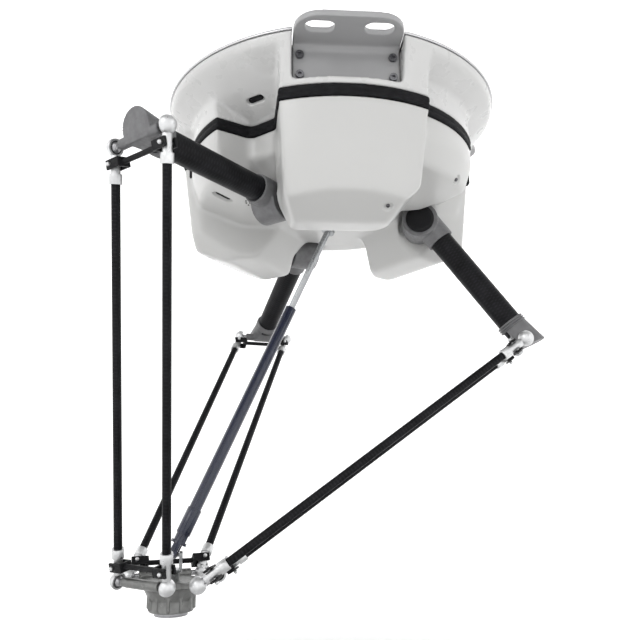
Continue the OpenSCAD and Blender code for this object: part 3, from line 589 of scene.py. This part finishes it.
def seal_latches():
    """Toggle latches on the two hind lobes, which pull the lower cover up against the seal."""
    spread, radius, drop = 29.2, 325 * MM, 13 * MM
    bodies, hooks = [], []
    for lobe in (1, 2):
        for side in (1, -1):
            angle = FRONT + TURN * lobe + spread * side
            at = round_z(angle) @ Matrix.Translation((radius, 0, SEAL_LOW - drop))
            bodies.append(placed(box_mesh((9 * MM, 18 * MM, 24 * MM), 2.5 * MM, 3), at))
            above = at @ Matrix.Translation((2.5 * MM, 0, 14 * MM))
            hooks.append(placed(box_mesh((7 * MM, 12 * MM, 15 * MM), 1.5 * MM), above))
    add_piece("latch_bodies", join(bodies), "cap_black", "base", smooth=False)
    add_piece("latch_hooks", join(hooks), "joint_steel", "base", smooth=False)


def soft_brackets():
    """The feet, with the soft bends and edges of a painted casting."""
    for node in ("foot_front", "foot_right", "foot_left"):
        add_piece("cast_" + node, recast(node, 2 * MM, 5), "bracket_grey", "base", [node])


def soft_seal():
    """The seal as one rubber section with two lips, which runs round every corner in a soft bend."""
    mesh = recast("seal_band", 2.2 * MM, 9)
    groove_depth, groove_half = 1.6 * MM, 2.5 * MM
    points, normals = read_points(mesh), np.empty(len(mesh.vertices) * 3)
    mesh.vertices.foreach_get("normal", normals)
    height = (points[:, 2:] - (SEAL_LOW + SEAL_HIGH) / 2) / groove_half
    write_points(mesh, points - groove_depth * np.exp(-height ** 2) * normals.reshape(-1, 3))
    add_piece("rubber_seal", mesh, "seal_black", "base", ["seal_band"])


# ---------------------------------------------------------------- limbs
def carbon_tube(node, radius, wall):
    """A wound tube with broken outer edges and closed ends."""
    middle, along, half = spine(node)
    edge, steps = 0.4 * MM, 24
    run = half - edge
    profile = [(-half, radius - wall), (-half, radius - edge)]
    profile += [(-run + 2 * run * i / steps, radius) for i in range(steps + 1)]
    profile += [(half, radius - edge), (half, radius - wall)]
    mesh = placed(lathe(profile, ROUND_SIDES), aligned(middle, along))
    add_piece("wound_" + node, mesh, "carbon", body_of(node), [node])


def castings():
    """The arms' castings and the platform, with the soft edges of a mould."""
    for limb in LIMBS:
        for node in (f"hub_{limb}", f"elbow_{limb}"):
            add_piece("cast_" + node, recast(node, 1.4 * MM, 3), "casting_grey", body_of(node), [node])
    add_piece("cast_platform", recast("platform", 1.1 * MM, 3), "platform_cast", "platform", ["platform"])


def clamp_ring(limb):
    """The ribbed ring that clamps an arm's tube in its elbow."""
    middle, along, half = spine(f"arm_tube_{limb}")
    elbow = (sum(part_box(f"elbow_balls_{limb}"), Vector()) / 2 - middle).dot(along)
    outward = along if elbow > 0 else -along
    bore, low, high = TUBE_RADIUS + 0.2 * MM, TUBE_RADIUS + 2.6 * MM, TUBE_RADIUS + 5 * MM
    ribs, pitch, rise, crest = 3, 5 * MM, 0.6 * MM, 2.4 * MM
    lead, setback = 1 * MM, 27 * MM
    profile = [(0, bore), (0, low)]
    for i in range(ribs):
        start = pitch * i + lead
        crest_end = start + rise + crest
        profile += [(start, low), (start + rise, high), (crest_end, high), (crest_end + rise, low)]
    end = ribs * pitch + 0.4 * MM
    profile += [(end, low), (end, bore)]
    mesh = placed(lathe(profile, ROUND_SIDES), aligned(middle + outward * (half - setback), outward))
    add_piece(f"clamp_ring_{limb}", mesh, "casting_grey", f"arm_{limb}")


def tubes():
    """The three arms' tubes with their clamp rings, and the six rods."""
    for limb in LIMBS:
        carbon_tube(f"arm_tube_{limb}", TUBE_RADIUS, TUBE_WALL)
        clamp_ring(limb)
        for i in (1, 2):
            carbon_tube(f"rod_tube_{limb}{i}", ROD_RADIUS, ROD_WALL)


# How wide the CAD nodes' broken edges are, in millimetres
EDGES = {
    "top_lid": 1.2, "foot_screws": 0.6, "cover_screws": 0.4, "core_frame": 1.0, "gearboxes": 1.0,
    "motors": 1.2, "wrist_motor": 1.2, "upper_yoke": 0.8, "lower_yoke": 0.8, "sliding_rod": 0.5,
    "outer_tube": 0.6, "upper_cross": 0.3, "lower_cross": 0.3, "spindle_bearing": 0.6, "tool_flange": 0.6,
}
LIMB_EDGES = {
    "hub_cap_{}": 0.8, "rod_ends_{}1": 0.5, "rod_ends_{}2": 0.5, "upper_bar_{}": 0.9, "lower_bar_{}": 0.9,
}


def cad_nodes():
    """Every CAD node gets its slot's look, and those that stay in view get broken edges."""
    for node, obj in nodes.items():
        dress(obj, SLOTS[node])
    for node, width in EDGES.items():
        bevelled(node, width * MM)
    for limb in LIMBS:
        for name, width in LIMB_EDGES.items():
            bevelled(name.format(limb), width * MM)


# ---------------------------------------------------------------- studio
def floor_paper():
    """Pale paper, greyer under the robot as a painted shadow, and glowing by itself more and more away from
    it as painted light.
    """
    paper = Nodes("floor_paper", (0.9, 0.9, 0.9), 0.8)
    paper.set("Emission Color", (1, 1, 1, 1))
    distance = paper.tree.nodes.new("ShaderNodeVectorMath")
    distance.operation = "LENGTH"
    paper.link(paper.mapped((1, 1, 0)), distance.inputs[0])
    near_edge, far_edge = 0.2, 1.6
    # This mask runs from 0 under the robot, where shade is painted, to 1 away from it, where a glow is
    # painted.
    shade_to_glow = paper.span(distance.outputs["Value"], 0, 1, near_edge, far_edge, "SMOOTHSTEP")
    # Painted shade: the paper is greyer near the middle, under the robot.
    paper.colour(shade_to_glow, (0.62, 0.62, 0.62), (0.92, 0.92, 0.92), 0, 1)
    # Painted light: the paper glows by itself, the more the farther it lies from the robot.
    paper.link(paper.maths("MULTIPLY", shade_to_glow, 0.4), paper.shader.inputs["Emission Strength"])
    return paper.material


def bowl_profile():
    """(radius, height) of the studio's floor, the bend at its edge and the wall above it."""
    flat, bend, wall, steps = 7.0, 3.0, 9.0, 12
    profile = [(0.02, 0.0), (2.0, 0.0), (flat, 0.0)]
    for i in range(1, steps + 1):
        a = math.pi / 2 * i / steps
        profile.append((flat + bend * math.sin(a), bend * (1 - math.cos(a))))
    return profile + [(flat + bend, bend + wall)]


def studio():
    """A pale floor that curves up all round, and a bright sky."""
    drop, sides = 0.25, 96
    floor_z = cad_box[0][2] - drop
    bm = bmesh.new()
    rings = [[bm.verts.new((radius * c, radius * s, floor_z + height)) for c, s in circle(sides)]
             for radius, height in bowl_profile()]
    skinned(bm, rings)
    bm.faces.new(rings[0])
    mesh = finished(bm, "floor")
    mesh.polygons.foreach_set("use_smooth", [True] * len(mesh.polygons))
    mesh.materials.append(floor_paper())
    floor = bpy.data.objects.new("floor", mesh)
    bpy.context.scene.collection.objects.link(floor)

    world = bpy.data.worlds.new("studio")
    bpy.context.scene.world = world
    world.use_nodes = True
    background = world.node_tree.nodes["Background"]
    background.inputs["Color"].default_value = (1, 1, 1, 1)
    background.inputs["Strength"].default_value = 0.48


def area_light(name, place, aim, size, power):
    """A soft rectangular light that the camera doesn't see."""
    light = bpy.data.lights.new(name, "AREA")
    light.energy = power
    light.shape = "RECTANGLE"
    light.size, light.size_y = size
    obj = bpy.data.objects.new(name, light)
    obj.visible_camera = False
    obj.location = place
    obj.rotation_euler = (Vector(aim) - Vector(place)).to_track_quat("-Z", "Y").to_euler()
    bpy.context.scene.collection.objects.link(obj)


def lights():
    """Name, place, what it points at, size in metres and power in watts."""
    area_light("key", (-2.2, -2.4, 1.1), (0, 0, -0.2), (1.8, 1.2), 15)
    area_light("fill", (2.4, -2.2, 0.4), (0, 0, -0.2), (1.6, 1.6), 1.5)
    area_light("rim", (1.2, 2.8, 1.9), (0, 0, -0.3), (1.6, 1.0), 20)


def camera():
    """Below the casing and a little left of it, looking up, as a photographer stands."""
    place = (-0.1561, -1.5289, -0.8043)
    yaw, pitch, roll = math.radians(4.69), math.radians(12.08), -0.01
    forward = Vector((math.sin(yaw) * math.cos(pitch), math.cos(yaw) * math.cos(pitch), math.sin(pitch)))
    data = bpy.data.cameras.new("camera")
    data.sensor_width, data.lens = 36, 39.36  # millimetres
    obj = bpy.data.objects.new("camera", data)
    obj.location = place
    obj.rotation_mode = "QUATERNION"
    obj.rotation_quaternion = forward.to_track_quat("-Z", "Y") @ Quaternion(Z_AXIS, roll)
    bpy.context.scene.collection.objects.link(obj)
    bpy.context.scene.camera = obj


cad_nodes()
lower_cover()
upper_casing()
seal_latches()
soft_brackets()
soft_seal()
castings()
tubes()
studio()
lights()
camera()
bpy.context.scene.view_settings.view_transform = "Standard"
